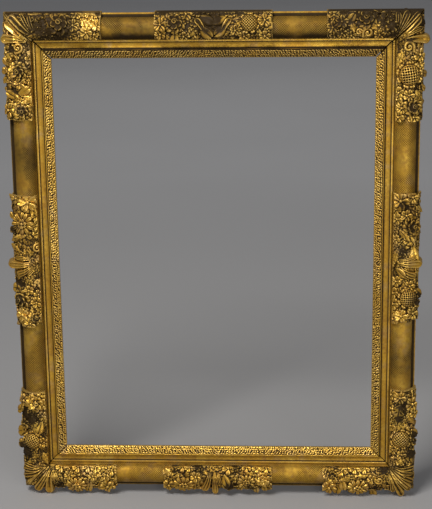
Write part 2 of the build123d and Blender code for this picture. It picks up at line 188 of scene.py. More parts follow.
def rose(r=20.0):
    """Ragged outer petals, an inner cup and a small coiled heart."""
    out = [bead(0.78 * r, 4.5)]
    out += ring_of(7, 0.36 * r, petal(0.66 * r, 0.74 * r, 1.6, 1.2, 3.6, 2.4, 2.2), 0.3, 2.0)
    out += ring_of(5, 0.12 * r, petal(0.56 * r, 0.62 * r, 4.4, 1.0, 1.4, 2.0, 2.2), 0.9, 5.0)
    turn = np.linspace(0, 2.7 * np.pi, 30)
    reach = r * (0.25 - 0.19 * turn / turn[-1])
    coil = np.stack([reach * np.cos(turn), reach * np.sin(turn), 10.0 + 1.6 * turn / turn[-1]], -1)
    out += [bead(0.34 * r, 3.6, 6.0), tube(coil, 1.25)]
    return out


def bloom(r=10.5, petals=5):
    """A small flower of separate petals round a bead."""
    out = [bead(0.5 * r, 4.0)]
    width = 2 * np.pi * 0.66 * r / petals * 0.98
    out += ring_of(petals, 0.2 * r, petal(0.86 * r, width, 2.0, 1.2, 1.8, 1.0, 2.2), 0.2, 2.6)
    return out + [bead(0.2 * r, 2.0, 4.4)]


def daisy(r=20.0, petals=12):
    """A flower of many narrow ribbed petals round a domed eye."""
    out = [bead(0.8 * r, 4.0, 0.5)]
    width = 2 * np.pi * 0.75 * r / petals * 0.86
    out += ring_of(petals, 0.28 * r, petal(0.74 * r, width, 1.5, 2.0, 3.4, 0.4, 2.6), 0.0, 4.0)
    out += ring_of(7, 0.1 * r, petal(0.34 * r, 0.26 * r, 1.5, 1.0, 1.0, 0.0, 2.2), 0.4, 6.4)
    return out + [bead(0.13 * r, 2.4, 7.6)]


def pod(r=13.2, pitch=3.35, skew=0.0):
    """A domed seed head cut in squares by thin ridges, in a collar of short leaves."""
    a, b = grid(61, 61, -1)
    x, y = a * np.sqrt(1 - b**2 / 2), b * np.sqrt(1 - a**2 / 2)
    z = 9.0 * np.sqrt(unit(1 - 0.93 * (x**2 + y**2)))
    c, n = math.cos(skew), math.sin(skew)
    fx = np.abs(((x * c + y * n) * r / pitch) % 1 - 0.5)
    fy = np.abs(((y * c - x * n) * r / pitch) % 1 - 0.5)
    pit = unit((0.4 - np.maximum(fx, fy)) / 0.09) * unit((1.0 - np.hypot(x, y)) / 0.1)
    out = [plate(x * r, y * r, z + 2.0 - 2.0 * pit, 0 * z - 3), bead(0.95 * r, 3.0)]
    return out + ring_of(9, 0.84 * r, petal(0.5 * r, 0.6 * r, 3.0, 1.6, 2.4, 0.6, 2.4), 0.2, 0.6)


def leaf(length=38.0, width=16.0, cuts=4, relief=5.0, curl=2.5):
    """A leaf with a cut edge, side veins and a sunk midrib."""
    t, w = grid(8 * cuts + 5, 13, 0.02)
    wave = np.cos(2 * np.pi * cuts * (t + 0.02))
    half = width / 2 * np.sin(np.pi * np.clip(t, 0, 0.985) ** 0.85) ** 0.7 * (1 + 0.24 * wave)
    vein = np.cos(2 * np.pi * cuts * (t - 0.13 * np.abs(w)))
    z = relief * (0.55 + 0.45 * np.sin(np.pi * t**0.7)) - 2.4 * np.abs(w) ** 1.6
    z += 0.9 * vein * np.abs(w) - 1.5 * bell(w, 0.14) * (1 - t) + curl * t**3
    top = np.stack([t * length, w * half, z], -1)
    bottom = np.stack([t * length, w * half * 1.02, 0 * z - 4], -1)
    return [slab(top, bottom)]


def spray(r=26.0, leaves=3, spread=1.3):
    """A fan of leaves from one foot."""
    out = []
    for k in range(leaves):
        turn = spread * (k / (leaves - 1) - 0.5)
        out += turned(leaf(r * (1 - 0.22 * abs(turn)), r * 0.38, 3, 4.5, 3.0), turn)
    return out


def drop(length=18.0, width=12.0):
    """A broad single petal, as of a fallen flower."""
    return petal(length, width, 3.4, 1.6, 2.6, 0.8, 2.8)


def berries(r=8.0, count=5):
    """A low bunch of beads round a raised one."""
    out = []
    for k in range(count):
        turn = 2 * np.pi * k / (count - 1)
        reach = 0.6 * r if k else 0
        x, y = reach * np.cos(turn), reach * np.sin(turn)
        out.append(bead(0.4 * r, 0.42 * r, 2.0 if k else 3.4, x, y))
    return out


def berry(r=5.0):
    """A bud half wrapped in four leaves."""
    out = [bead(r, 0.8 * r, 3.0)]
    return out + ring_of(4, 0.35 * r, petal(0.95 * r, 1.1 * r, 2.0, 1.0, 3.0, 1.2, 2.0), 0.4, 4.0)


def scroll(r=8.0, turns=1.3, way=1):
    """A stem that rolls up round a bead, to the left or to the right."""
    turn = np.linspace(0, 2 * np.pi * turns, 34)
    share = turn / turn[-1]
    reach = r * (1 - 0.78 * share)
    coil = np.stack([reach * np.cos(turn), way * reach * np.sin(turn), 3.0 + 2.6 * share], -1)
    tail = np.stack([r + 0 * share[:9], way * np.linspace(-r, -1, 9), np.linspace(1.5, 2.9, 9)], -1)
    path = np.concatenate([tail, coil])
    return [tube(path, np.linspace(2.5, 1.5, len(path))), bead(0.25 * r, 3, 4)]


star = partial(bloom, petals=6)
skew_pod = partial(pod, skew=0.75)
mirrored_scroll = partial(scroll, way=-1)

# The carved ground's line across the rail: over the torus and down its outer side
BED_LEAN = np.radians(np.linspace(-52, 46, 40))
BED_U = np.concatenate([TORUS_U + (TORUS_R + 1.8) * np.sin(BED_LEAN), [84.5, 88.6, 90.6, 91.2, 91.2]])
BED_D = np.concatenate([TORUS_C + (TORUS_R + 1.8) * np.cos(BED_LEAN), [28.6, 25.0, 20.0, 13.0, 6.0]])
BED_W = np.concatenate([[0], np.cumsum(np.hypot(np.diff(BED_U), np.diff(BED_D)))])
BED_TURN = np.arctan2(-np.gradient(BED_D, BED_W), np.gradient(BED_U, BED_W))
# Points of that line which face the front
BED_FRONT = 42
BED_SPACING, BED_HEIGHT_SHARE = 10.5, 0.66
MOTIF_SCALE, MOTIF_LIFT, MOTIF_TILT_SHARE = 1.36, 1.6, 0.7
GROWTH_INNER, GROWTH_OUTER = 37.4, 89.0
# The ground's outer side, its foot's height and the height all carving is trimmed at, then a lobe's spine
FLANK = [(82.0, 29.5), (87.0, 25.5), (90.0, 21.0), (91.0, 16.0), (91.2, 10.5), (91.2, 5.3)]
GROUND_FOOT, TRIM_D = 5.3, 5.0
SPINE_U = (36, 43.5, 50, TORUS_U, 68, 77, 88, 98, 106)
SPINE_D = (29, 35.5, 41.5, 45.0, 44.0, 39.5, 34.0, 30.5, 28.5)

# How far growth may spread past the outer line, as a share of its reach
SPREAD = {"top": 0.15, "right": 0.5, "bottom": 0.9, "left": 0.5}


def seated_at(shells, s, w, turn, facing, out=0.0):
    """Sets shells at a distance w along the ground's line, tilted by a share of its slope."""
    face = facing * np.interp(w, BED_W, BED_TURN)
    origin = np.array([s, np.interp(w, BED_W, BED_U) + out, np.interp(w, BED_W, BED_D)])
    axes = np.array([[1, 0, 0], [0, math.cos(face), -math.sin(face)], [0, math.sin(face), math.cos(face)]])
    return [(v @ axes + origin, f) for v, f in turned(shells, math.radians(turn))]


def seated(motif, s, u, size=100, turn=0):
    """Sets a motif at a place seen from the front, standing clear of the growth under it."""
    place = min(u, RAIL)
    shells = moved(scaled(motif(), MOTIF_SCALE * (size / 100)), (0, 0, MOTIF_LIFT))
    w = np.interp(place, BED_U[:BED_FRONT], BED_W[:BED_FRONT])
    return seated_at(shells, s, w, turn, MOTIF_TILT_SHARE, u - place)


def kept_in(shells, side):
    """Keeps growth off the plain band inside it, and near the rail's outer line."""
    for points, _ in shells:
        over = points[:, 1] - GROWTH_OUTER
        inside = np.maximum(points[:, 1], GROWTH_INNER)
        points[:, 1] = np.where(over > 0, GROWTH_OUTER + SPREAD[side] * over, inside)
    return shells


def ridges(w, count):
    """Rounded ridges side by side across a lobe: 0 on their crests, -1 in the grooves between."""
    return (np.cos(count * np.pi * (w + 1) + np.pi) - 1) / 2


def lobe(s0, u0, s1, u1, wide0, wide1, count, bow, rise=0):
    """A fluted band between two places of the rail, widening to a rounded tip that curls over."""
    t, w = grid(46, 27)
    length = math.hypot(s1 - s0, u1 - u0)
    a, b = (s1 - s0) / length, (u1 - u0) / length
    nose = unit((t - 0.74) / 0.26)
    half = 0.5 * (wide0 + (wide1 - wide0) * t**0.9) * np.sqrt(1 - 0.86 * nose**2.6)
    side = bow * np.sin(np.pi * t) + w * half
    s = s0 + a * t * length - b * side
    u = u0 + b * t * length + a * side
    edge = np.sqrt(w**2 + (0.95 * nose) ** 4)
    rim = 2.4 * bell(edge - 0.74, 0.2) * np.clip(2 * t, 0.3, 1)
    stem = 2.2 * ridges(w, count) if count > 1 else 1.2 * bell(w, 0.22)
    d = np.interp(u, SPINE_U, SPINE_D) + rise + rim + stem * (1 - nose)
    d = d - 6.0 * np.clip(edge, 0, 1.1) ** 8 - 7.0 * nose**4 - 3.0 * (1 - t) ** 3
    foot = np.interp(u, [43, 66, 84, 90], [16, 14, 6.0, 5.2])
    return [plate(s, np.clip(u, 0, RAIL + REACH), d, np.minimum(foot, d - 2))]


def ground(low, high):
    """The carved ground over the torus and down the side, with an uneven surface."""
    r = TORUS_R + GROUND - 0.8
    leans = np.radians(np.linspace(-52, 48, 22))
    line = [(TORUS_U + r * math.sin(a), TORUS_C + r * math.cos(a)) for a in leans]
    line = [(line[0][0] - 0.3, 18.5), (line[0][0] - 0.2, 24.0)] + line + FLANK
    inner = [(TORUS_U + (u - TORUS_U) * 0.8, 14 + (d - 14) * 0.72) for u, d in line]
    along = np.linspace(low - 2, high + 2, int((high - low) / 3))
    top = np.array([[(s, u, d) for u, d in line] for s in along])
    bottom = np.array([[(s, u, max(d, GROUND_FOOT)) for u, d in inner] for s in along])
    top[:, 3:-2, 2] += rng.uniform(-0.7, 0.7, top[:, 3:-2, 2].shape)
    return slab(top, bottom)


def bed(low, high):
    """Low leaves, florets and fallen petals over the whole ground, down its outer side too."""
    out = []
    for s in np.arange(low + 5, high - 4, BED_SPACING):
        for w in np.arange(6.0, BED_W[-1] - 4, BED_SPACING * 0.9):
            here = (s + rng.uniform(-3.5, 3.5), w + rng.uniform(-3, 3))
            kind, turn = rng.uniform(), rng.uniform(0, 360)
            if kind < 0.5:
                made = leaf(rng.uniform(15, 20), rng.uniform(9, 12), 3, 3.4, 1.2)
            elif kind < 0.8:
                made = bloom(rng.uniform(7.0, 9.0), int(rng.integers(4, 6)))
            else:
                made = drop(rng.uniform(11, 15), rng.uniform(7, 10))
            out += seated_at(scaled(made, (1, 1, BED_HEIGHT_SHARE)), *here, turn, 1.0)
    return out


def over_torus(s, lean, rho):
    """Points at a distance rho from the torus's centre line, leaning out from its crest."""
    return np.stack([s, TORUS_U + rho * np.sin(lean), TORUS_C + rho * np.cos(lean)], -1)


def end_ridge(s):
    """The ragged raised line where a carved piece stops against the plain torus."""
    lean = np.radians(np.linspace(-50, 60, 40))
    rho = TORUS_R + GROUND - 0.2 + rng.uniform(-0.7, 0.7, 40)
    path = over_torus(s + rng.uniform(-1.1, 1.1, 40), lean, rho)
    return tube(path, 1.4 + rng.uniform(-0.4, 0.4, 40))


def side_ridge(low, high):
    """A wavy cord along the inner edge of the carving."""
    s = np.arange(low, high, 2.2)
    lean = np.radians(-51 + 4 * np.sin(s / 5.2) + rng.uniform(-1.5, 1.5, len(s)))
    return tube(over_torus(s, lean, TORUS_R + GROUND - 1.0), 1.4 + 0.5 * np.sin(s / 2.6))


# Layouts read from the photograph
# Each carving: side, the way to its corner or 0, its two ends, its motifs and its lobes
# A motif is (kind, s, u, size in percent, turn in degrees), a lobe is what lobe() takes
CARVINGS = {
    "corner_carving_top_left_across": ("top", -1, (-424, -216), [
        (rose, -296, 70, 90), (rose, -241, 80, 62, 30), (bloom, -263, 86, 80), (bloom, -242, 67, 75, 20),
        (star, -269, 66, 85), (bloom, -223, 66, 80, 10), (bloom, -244, 54, 85, 50),
        (drop, -232, 56, 90, 120), (spray, -330, 84, 80, 175), (leaf, -318, 68, 55, 95),
        (leaf, -327, 50, 60, 185), (leaf, -313, 47, 50, 100), (leaf, -338, 60, 40, 100),
        (leaf, -280, 52, 70, 10), (bloom, -258, 48, 70), (star, -230, 45, 60), (bloom, -274, 42, 60),
        (leaf, -300, 46, 50)], [
        (-346, 41, -397, 86, 6, 24, 2, 0, 1.5), (-342, 42, -372, 90, 5, 9, 2, 1),
        (-339, 44, -358, 90, 5, 9, 2, 2, -0.5), (-335, 46, -344, 86, 4, 8, 2, 1, -1)]),
    "corner_carving_top_left_upright": ("left", 1, (288, 512), [
        (rose, 386, 62, 72), (drop, 398, 82, 85, 60), (drop, 384, 84, 90, 85), (drop, 371, 83, 85, 110),
        (scroll, 432, 60, 85, 200), (leaf, 423, 46, 65, 250), (star, 408, 41, 80), (berry, 416, 74, 120),
        (bloom, 364, 76, 70), (bloom, 362, 59, 80), (bloom, 352, 42, 90), (bloom, 375, 46, 70, 30),
        (drop, 338, 80, 100, 250), (drop, 340, 62, 110, 300), (drop, 333, 66, 100, 60),
        (drop, 336, 46, 120, 240), (leaf, 336, 54, 60, 250), (rose, 308, 58, 72, 60),
        (bloom, 308, 83, 100, 30), (bloom, 325, 43, 90), (bloom, 298, 42, 80), (berries, 320, 75, 70)], [
        (441, 41, 482, 86, 6, 24, 2, 0, 1.5), (443, 42, 447, 97, 7, 24, 1, -3, 1.0),
        (440, 44, 458, 74, 5, 11, 1, -2)]),
    "corner_carving_top_right_across": ("top", 1, (222, 424), [
        (rose, 297, 74, 78), (leaf, 268, 76, 60, 280), (mirrored_scroll, 300, 51, 85, 180),
        (scroll, 283, 52, 60), (bloom, 250, 69, 85), (drop, 262, 64, 100, 60), (drop, 316, 60, 120, 170),
        (drop, 310, 66, 120, 130), (leaf, 328, 68, 50, 85), (drop, 322, 84, 110, 100), (bloom, 322, 47, 75),
        (bloom, 336, 54, 60), (berry, 345, 62, 150), (star, 235, 80, 80), (bloom, 232, 60, 80),
        (bloom, 236, 44, 70), (bloom, 250, 50, 70), (bloom, 268, 46, 70), (leaf, 290, 42, 50, 20)], [
        (352, 44, 358, 90, 5, 16, 3, -2, 0.5), (354, 42, 378, 91, 5, 19, 3, 0, 0.8),
        (357, 41, 402, 88, 6, 22, 3, 0, 1.2)]),
    "corner_carving_top_right_upright": ("right", -1, (-512, -283), [
        (pod, -375, 62, 110, 8), (drop, -377, 86, 90, 80), (scroll, -429, 60, 95, 90),
        (bloom, -413, 80, 95), (leaf, -420, 50, 70, 340), (leaf, -404, 43, 65), (drop, -386, 41, 100, 40),
        (drop, -362, 41, 100, 320), (drop, -352, 44, 110), (leaf, -345, 74, 70, 30), (bloom, -335, 62, 80),
        (bloom, -326, 42, 90), (rose, -313, 70, 74, 30), (drop, -302, 55, 100, 30),
        (bloom, -292, 70, 90, 60), (bloom, -292, 45, 90), (drop, -353, 84, 80, 60), (bloom, -310, 50, 80),
        (bloom, -340, 45, 80, 20), (berry, -392, 84)], [
        (-441, 41, -487, 84, 6, 24, 3, 0, 1.2), (-442, 42, -466, 89, 5, 12, 1, 2, 0.5),
        (-440, 43, -441, 103, 7, 23, 2, 3, 0.5)]),
    "corner_carving_bottom_left_upright": ("left", -1, (-512, -281), [
        (rose, -302, 56, 78), (bloom, -288, 60, 70), (bloom, -289, 46, 70, 20), (bloom, -300, 80),
        (leaf, -332, 66, 75, 190), (drop, -346, 48, 110, 160), (bloom, -332, 47, 70),
        (drop, -367, 82, 130, 100), (drop, -378, 86, 110, 80), (pod, -388, 67, 92, 30),
        (leaf, -376, 50, 60, 150), (bloom, -392, 46, 75), (leaf, -424, 78, 60, 20),
        (leaf, -426, 64, 50, 10), (drop, -402, 84, 120, 80), (leaf, -414, 48, 60, 200),
        (bloom, -352, 82, 80), (drop, -320, 84, 110, 100), (bloom, -312, 41, 60)], [
        (-443, 42, -441, 91, 5, 11, 2, 4, -0.5), (-445, 42, -455, 93, 5, 11, 2, 4),
        (-447, 42, -470, 93, 5, 13, 2, 3, 0.3), (-448, 41, -488, 84, 6, 16, 2, 0, 1.0)]),
    "corner_carving_bottom_left_across": ("bottom", 1, (212, 424), [
        (daisy, 298, 80, 82), (drop, 276, 78, 105, 95), (drop, 268, 72, 100, 75), (rose, 238, 54, 60, 90),
        (drop, 249, 74, 100, 95), (bloom, 232, 80, 115), (drop, 224, 68, 100, 70), (bloom, 240, 41, 75),
        (bloom, 272, 42, 88), (bloom, 293, 42, 90), (berry, 315, 42, 110), (bloom, 328, 42, 90),
        (leaf, 322, 54, 50, 170), (bloom, 262, 58, 70), (bloom, 312, 56, 70), (bloom, 256, 44, 70),
        (bloom, 222, 47, 80)], [
        (350, 40, 385, 99, 7, 22, 1, 0, 1.0), (349, 42, 357, 105, 6, 23, 2, -2, 1.5),
        (345, 46, 346, 73, 4, 9, 1, 1, 0.5), (341, 46, 335, 70, 4, 8, 1, -1)]),
    "corner_carving_bottom_right_across": ("bottom", -1, (-424, -218), [
        (daisy, -292, 80, 84, 60), (rose, -238, 54, 62), (bloom, -232, 79, 115), (drop, -250, 72, 120, 85),
        (drop, -258, 62, 100, 100), (bloom, -258, 45, 80), (bloom, -285, 42, 80), (bloom, -305, 42, 80),
        (bloom, -268, 42, 70), (leaf, -318, 50, 55, 10), (scroll, -335, 62, 75), (bloom, -320, 60, 70),
        (bloom, -224, 48, 90), (leaf, -276, 56, 50, 20), (drop, -322, 88, 100, 100)], [
        (-352, 43, -366, 96, 5, 15, 1, 3, 0.5), (-354, 41, -386, 105, 6, 20, 2, 0, 1.5),
        (-357, 41, -401, 90, 6, 15, 1, 0, 1.0)]),
    "corner_carving_bottom_right_upright": ("right", 1, (272, 512), [
        (bloom, 287, 57, 90), (star, 282, 42, 80), (leaf, 300, 58, 90, 350), (bloom, 303, 80, 105),
        (leaf, 322, 72, 60, 30), (berries, 312, 45, 80), (bloom, 328, 44, 80), (leaf, 330, 56, 80, 350),
        (spray, 342, 64, 70), (pod, 378, 60, 95, 40), (berry, 386, 86, 110), (drop, 362, 80, 110, 60),
        (bloom, 350, 42, 80), (bloom, 402, 46, 70), (berry, 425, 60, 120), (leaf, 398, 78, 70, 10),
        (bloom, 412, 62, 70), (bloom, 322, 86, 90), (leaf, 398, 66, 60, 20)], [
        (441, 42, 444, 91, 5, 13, 2, -3), (443, 42, 459, 89, 5, 10, 2, -2),
        (446, 41, 476, 90, 5, 13, 2, 0, 0.5), (448, 40, 492, 84, 6, 16, 2, 0, 1.2)]),
    "centre_carving_top": ("top", 0, (-112, 117), [
        (rose, -72, 70, 82), (drop, -54, 68, 120, 200), (drop, -70, 54, 120, 260), (bloom, -100, 66, 95),
        (bloom, -100, 50, 75, 20), (leaf, -88, 48, 50, 300), (berry, -37, 52, 120),
        (leaf, -28, 52, 60, 250), (drop, -24, 62, 130, 320), (drop, -22, 80, 120, 330),
        (drop, 26, 80, 120, 210), (drop, 28, 64, 120, 220), (leaf, 34, 54, 60, 200), (bloom, 45, 56, 70),
        (berry, 51, 67, 80), (skew_pod, 72, 68, 86), (bloom, 102, 72, 90), (bloom, 108, 86, 70),
        (drop, 96, 64), (bloom, 102, 46, 80), (bloom, -50, 84, 90), (leaf, -45, 76, 60, 190),
        (leaf, 40, 74, 60), (bloom, 62, 46, 80), (bloom, -55, 46, 70), (leaf, 84, 48, 50)], [
        (-12, 44, -32, 79, 6, 17, 2, -3, 0.5), (18, 44, 36, 79, 6, 17, 2, 3, 0.5),
        (6, 45, 6, 72, 5, 4, 1, 0, -3.0)]),
    "centre_carving_left": ("left", 0, (-138, 136), [
        (bloom, 124, 55, 135), (drop, 116, 50, 100, 200), (leaf, 122, 76, 65, 60), (bloom, 130, 76, 80),
        (daisy, 80, 66, 86), (drop, 88, 84, 80, 60), (drop, 66, 84, 85, 100), (leaf, 55, 60, 50, 100),
        (leaf, 50, 74, 55, 110), (leaf, 22, 76, 60, 70), (scroll, 28, 43, 80), (berry, 5, 42),
        (spray, -38, 46, 60, 200), (drop, -58, 76, 120, 90), (bloom, -60, 60, 70), (rose, -80, 76, 78),
        (bloom, -86, 48, 80), (bloom, -113, 73), (rose, -117, 49, 60), (leaf, -128, 76, 50, 200),
        (bloom, -100, 42, 70), (bloom, 95, 42, 80), (bloom, 75, 42, 70), (bloom, 58, 42, 70),
        (bloom, -70, 44, 70), (bloom, -130, 60, 80)], [
        (4, 46, 6, 88, 6, 12, 1, -2, -0.5), (-2, 45, -9, 104, 7, 20, 1, 2, 1.5),
        (-6, 47, -29, 86, 6, 17, 1, 3, 0.5), (-8, 46, -28, 63, 5, 13, 1, 2)]),
    "centre_carving_right": ("right", 0, (-140, 129), [
        (bloom, -126, 52, 120), (bloom, -130, 40, 80), (leaf, -112, 80, 50, 60), (bloom, -132, 72, 90),
        (bloom, -108, 44, 80), (bloom, -96, 62, 80), (rose, -72, 74, 80), (leaf, -66, 50, 60, 45),
        (drop, -56, 62, 100, 40), (leaf, -26, 47, 60, 350), (drop, -30, 76, 140, 10), (berry, 4, 40, 90),
        (drop, 14, 46, 100, 50), (bloom, 40, 46, 80), (bloom, 50, 70, 80), (pod, 75, 68, 95),
        (berry, 86, 85, 120), (drop, 60, 80, 120, 60), (bloom, 65, 42, 85), (bloom, 88, 42, 90),
        (drop, 104, 40, 120, 20), (bloom, 112, 56, 95), (bloom, 108, 76, 95), (bloom, 120, 42, 80),
        (bloom, -88, 46, 80), (bloom, -45, 66, 70), (leaf, 40, 62, 50), (bloom, -46, 44, 70)], [
        (-3, 44, -10, 88, 5, 12, 1, -2), (2, 43, 7, 98, 7, 22, 1, 0, 1.5),
        (7, 45, 33, 86, 6, 18, 1, -3, 0.5), (10, 45, 27, 62, 5, 10, 1, -2)]),
    "centre_carving_bottom": ("bottom", 0, (-113, 114), [
        (berry, 104, 46, 150), (bloom, 103, 76), (berry, 89, 43, 70), (bloom, 74, 41, 80),
        (bloom, 60, 42, 70), (berry, 43, 42), (daisy, 72, 75, 84), (bloom, -22, 43, 90),
        (drop, -12, 54, 110, 110), (drop, -20, 58, 110, 80), (berry, -37, 42, 95), (drop, -46, 74, 85, 90),
        (daisy, -60, 68, 66), (bloom, -82, 42, 75), (berry, -87, 43, 60), (rose, -94, 62, 60, 20),
        (drop, -95, 78, 80, 100), (drop, -80, 82, 80, 90), (bloom, -101, 42, 80), (drop, -30, 70, 100, 60),
        (bloom, 46, 58, 80), (drop, 50, 76, 80, 80), (bloom, -60, 42, 70)], [
        (16, 42, 31, 97, 6, 21, 3, 3, 0.5), (6, 43, 6, 104, 5, 17, 1, 0, 1.5),
        (-1, 44, -6, 78, 5, 12, 1, -1, 0.5)]),
}


# Meshes
def new_mesh(name, verts, faces):
    mesh = bpy.data.meshes.new(name)
    mesh.from_pydata(verts, [], faces)
    mesh.update()
    return mesh


def as_object(name, data):
    made = bpy.data.objects.new(name, data)
    bpy.context.scene.collection.objects.link(made)
    return made


def fused(name, shells):
    """One closed skin over all the shells, still in rail millimetres."""
    starts = np.cumsum([0] + [len(v) for v, _ in shells[:-1]])
    faces = np.concatenate([f + k for (_, f), k in zip(shells, starts)])
    made = as_object(name, new_mesh(name, np.concatenate([v for v, _ in shells]), faces.tolist()))
    mod = made.modifiers.new("skin", "REMESH")
    mod.mode = "VOXEL"
    mod.voxel_size = VOXEL
    mod.use_smooth_shade = True
    graph = bpy.context.evaluated_depsgraph_get()
    mesh = bpy.data.meshes.new_from_object(made.evaluated_get(graph))
    old = made.data
    made.modifiers.clear()
    made.data = mesh
    bpy.data.meshes.remove(old)
    return made


def cut(made, planes):
    """Trims a skin by planes (point, outward normal) and closes it again."""
    bm = bmesh.new()
    bm.from_mesh(made.data)
    for point, normal in planes:
        geom = bm.verts[:] + bm.edges[:] + bm.faces[:]
        done = bmesh.ops.bisect_plane(bm, geom=geom, plane_co=point, plane_no=normal, clear_outer=True)
        edges = [e for e in done["geom_cut"] if isinstance(e, bmesh.types.BMEdge) and e.is_boundary]
        bmesh.ops.triangle_fill(bm, edges=edges, use_beauty=True)
    bm.to_mesh(made.data)
    bm.free()


def points_of(mesh):
    co = np.empty(len(mesh.vertices) * 3)
    mesh.vertices.foreach_get("co", co)
    return co.reshape(-1, 3)


def hollows(mesh, steps):
    """How far each point lies in a hollow (below zero) or on a crest, by smoothing the mesh."""
    co = points_of(mesh)
    ends = np.empty(len(mesh.edges) * 2, np.int64)
    mesh.edges.foreach_get("vertices", ends)
    here = np.concatenate([ends[0::2], ends[1::2]])
    there = np.concatenate([ends[1::2], ends[0::2]])
    count = np.maximum(np.bincount(here, minlength=len(co)), 1)
    soft = co.copy()
    for _ in range(steps):
        total = np.stack([np.bincount(here, soft[there, k], len(co)) for k in range(3)], 1)
        soft = 0.4 * soft + 0.6 * total / count[:, None]
    normals = np.empty(len(co) * 3)
    mesh.vertices.foreach_get("normal", normals)
    return ((co - soft) * normals.reshape(-1, 3)).sum(1)


def paint(mesh, **layers):
    """Stores values on the points of a mesh, for the materials to read."""
    for name, values in layers.items():
        spread = np.full(len(mesh.vertices), values, np.float32)
        mesh.attributes.new(name, "FLOAT", "POINT").data.foreach_set("value", spread)


def smooth_shaded(mesh):
    mesh.polygons.foreach_set("use_smooth", np.ones(len(mesh.polygons), bool))
    mesh.update()


def to_frame(made, side, node):
    """Moves rail coordinates into the frame, attaches the piece to the frame's body and hides the CAD node
    it stands in for.
    """
    co = to_world(points_of(made.data), side)
    made.data.vertices.foreach_set("co", co.ravel().astype(np.float32))
    made.data.update()
    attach(made, "frame")
    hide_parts(node)


# How dark each rail's carving is made, a darkening that gathers in its hollows as dirt and painted shade,
# and how far the red ground shows through
TONES = {"top": (0.58, 0.30), "left": (0.22, 0.35), "right": (0.32, 0.25), "bottom": (0.12, 0.42)}
# Darkening on each rail, as dirt and painted shade: its torus, more on that one's inner half, its outer
# strip, its band, its sight edge. On the top rail that inner half is the torus's lower, downward-facing
# side, and its darkening there is painted shade.
RAIL_DIRT_AND_SHADE = {
    "top": (0.52, 0.7, 0.12, 0.0, 1.15),
    "left": (0.42, 0.1, 0.8, 0.2, 0.22),
    "right": (0.16, 0.2, 0.3, 0.2, 0.35),
    "bottom": (0.14, 0.3, 0.5, 0.2, 0.08),
}
# Darker places on each plain torus, as (s, strength, spread)
PATCHES = {
    "top": [(215, 0.1, 45), (-165, 0.3, 50)], "left": [(215, 0.45, 45)], "right": [(215, 0.5, 45)],
    "bottom": [(215, 0.1, 45)],
}
# Dark places on each side's carving, or bright ones below zero, as (s, u, radius, strength)
SPOTS = {
    "top": [
        (-300, 66, 34, 0.9), (-345, 62, 30, 0.5), (6, 68, 13, 1.5), (400, 90, 26, 0.7), (297, 74, 17, 1.1),
        (243, 68, 12, 0.8), (-72, 74, 16, 0.9), (-8, 84, 70, 0.35), (330, 84, 60, 0.5), (345, 60, 22, 0.5),
        (240, 45, 30, 0.5), (-240, 70, 16, -0.8), (316, 62, 12, -0.7), (24, 74, 8, -0.6),
        (290, 50, 13, -0.8)],
    "left": [
        (388, 60, 16, 0.9), (309, 56, 14, 1.0), (-82, 80, 17, 1.0), (-121, 50, 10, 1.0),
        (-340, 76, 18, 1.0), (-404, 86, 14, 1.3), (-45, 78, 10, 1.0), (68, 88, 11, 1.2), (-334, 56, 9, 1.0),
        (-416, 81, 12, 1.2), (348, 76, 7, 1.0), (428, 76, 7, 1.2), (398, 80, 12, -0.5), (330, 46, 16, -0.6),
        (124, 52, 14, -0.8), (-113, 74, 12, -0.9), (441, 88, 12, -0.6), (468, 66, 14, -0.6),
        (-10, 84, 17, -0.5)],
    "right": [
        (-313, 70, 13, 1.0), (-73, 74, 17, 1.0), (306, 60, 14, 0.9), (378, 90, 12, 1.3),
        (-480, 90, 22, 0.7), (-116, 57, 10, 1.1), (-20, 58, 11, 0.8), (78, 88, 14, 1.2), (333, 55, 9, 1.0),
        (410, 82, 13, 1.1), (-440, 62, 8, 0.8), (-15, 77, 10, -0.9), (113, 50, 13, -0.6),
        (-441, 90, 14, -0.7), (12, 84, 17, -0.5)],
    "bottom": [
        (-345, 40, 10, 1.6), (42, 38, 9, 1.1), (-38, 40, 8, 1.1), (-24, 80, 12, 1.4), (-238, 50, 10, 1.1),
        (90, 41, 9, 0.9), (-66, 82, 10, 1.0), (-330, 84, 9, 1.2), (333, 84, 10, 1.2), (104, 44, 11, -0.8),
        (292, 74, 9, -0.7), (-97, 62, 14, -0.6), (-234, 76, 12, -0.5), (360, 95, 16, -0.6),
        (28, 86, 15, -0.8), (6, 96, 12, -0.6)],
}


def gilded(made, side):
    """Stores what the gilding's material reads: crests and hollows for painted highlight and shade, depth
    for painted shade on the low ground, dirt with painted shade, and bole.
    """
    mesh = made.data
    co = points_of(mesh)
    rho = np.hypot(co[:, 1] - TORUS_U, co[:, 2] - TORUS_C) - TORUS_R
    side_in = co[:, 1] > 84
    rho[side_in] = np.maximum(rho[side_in] - 6, (co[side_in, 1] - 91) * 0.6 + 1)
    scale = 0.8 / VOXEL
    crest = 0.5 + 0.9 * scale * hollows(mesh, 5) + 0.22 * hollows(mesh, int(26 * scale))
    dirt, bole = TONES[side]
    dark = np.full(len(co), dirt)
    for s, u, r, strength in SPOTS[side]:
        near = strength * np.exp(-((co[:, 0] - s) ** 2 + (co[:, 1] - u) ** 2) / r**2)
        dark += 1.3 * near
        crest -= 0.28 * np.minimum(near, 0)
        crest -= 0.12 * np.maximum(near, 0)
    # Height above the carved ground; the material paints shade where it is low, between the motifs
    depth = unit((rho - 3.4) / 6.0)
    paint(mesh, depth=depth, crest=unit(crest), dirt=np.clip(dark, 0, 1.5), bole=bole)


# Carvings
def crack(side, way):
    """How far a mitre stands open at the front: wider at the frame's two upper corners."""
    high = side == "top" or (side, way) in (("left", 1), ("right", -1))
    return WIDE_CRACK if high else NARROW_CRACK


